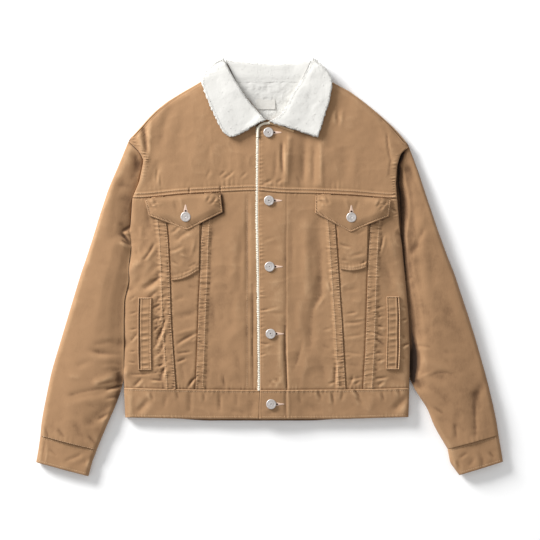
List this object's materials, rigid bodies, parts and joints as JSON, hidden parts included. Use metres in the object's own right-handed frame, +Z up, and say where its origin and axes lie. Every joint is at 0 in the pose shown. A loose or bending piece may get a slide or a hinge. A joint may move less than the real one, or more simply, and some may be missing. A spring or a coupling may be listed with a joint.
{
  "type": "sherpa lined jacket",
  "caption": "Trucker-style cotton jacket with pile collar and lining, pointed chest flaps, slanted hand pockets and metal buttons, buttoned and laid flat.",
  "frame": {"origin": "centre of the bounding box at the surface the jacket lies on", "axes": "+Z up from the surface out of the buttoned front, +Y from the hem towards the collar, +X across the jacket towards the front that laps over"},
  "size_m": [0.866, 0.776, 0.0309],
  "materials": {
    "camel_cloth": "brushed cotton twill, matt",
    "pile": "curly off-white pile",
    "label_tape": "woven tape, smooth",
    "button_metal": "satin silver tone"
  },
  "bodies": {
    "root": {"back_panel": "camel_cloth", "back_yoke": "camel_cloth", "waistband_back": "camel_cloth", "front_side_left": "camel_cloth", "front_side_right": "camel_cloth", "front_middle_left": "camel_cloth", "front_middle_right": "camel_cloth", "front_centre_left": "camel_cloth", "front_centre_right": "camel_cloth", "front_yoke_left": "camel_cloth", "front_yoke_right": "camel_cloth", "waistband_left": "camel_cloth", "waistband_right": "camel_cloth", "chest_pocket_left": "camel_cloth", "chest_pocket_right": "camel_cloth", "pocket_flap_left": "camel_cloth", "pocket_flap_right": "camel_cloth", "pocket_welt_left": "camel_cloth", "pocket_welt_right": "camel_cloth", "sleeve_left": "camel_cloth", "sleeve_right": "camel_cloth", "cuff_left": "camel_cloth", "cuff_right": "camel_cloth", "front_edge_pile": "pile", "neck_lining": "pile", "collar_fall_left": "pile", "collar_fall_right": "pile", "collar_stand": "pile", "collar_fall_back": "pile", "neck_label": "label_tape", "front_button_1": "button_metal", "front_button_2": "button_metal", "front_button_3": "button_metal", "front_button_4": "button_metal", "front_button_5": "button_metal", "flap_button_left": "button_metal", "flap_button_right": "button_metal"}
  },
  "joints": []
}
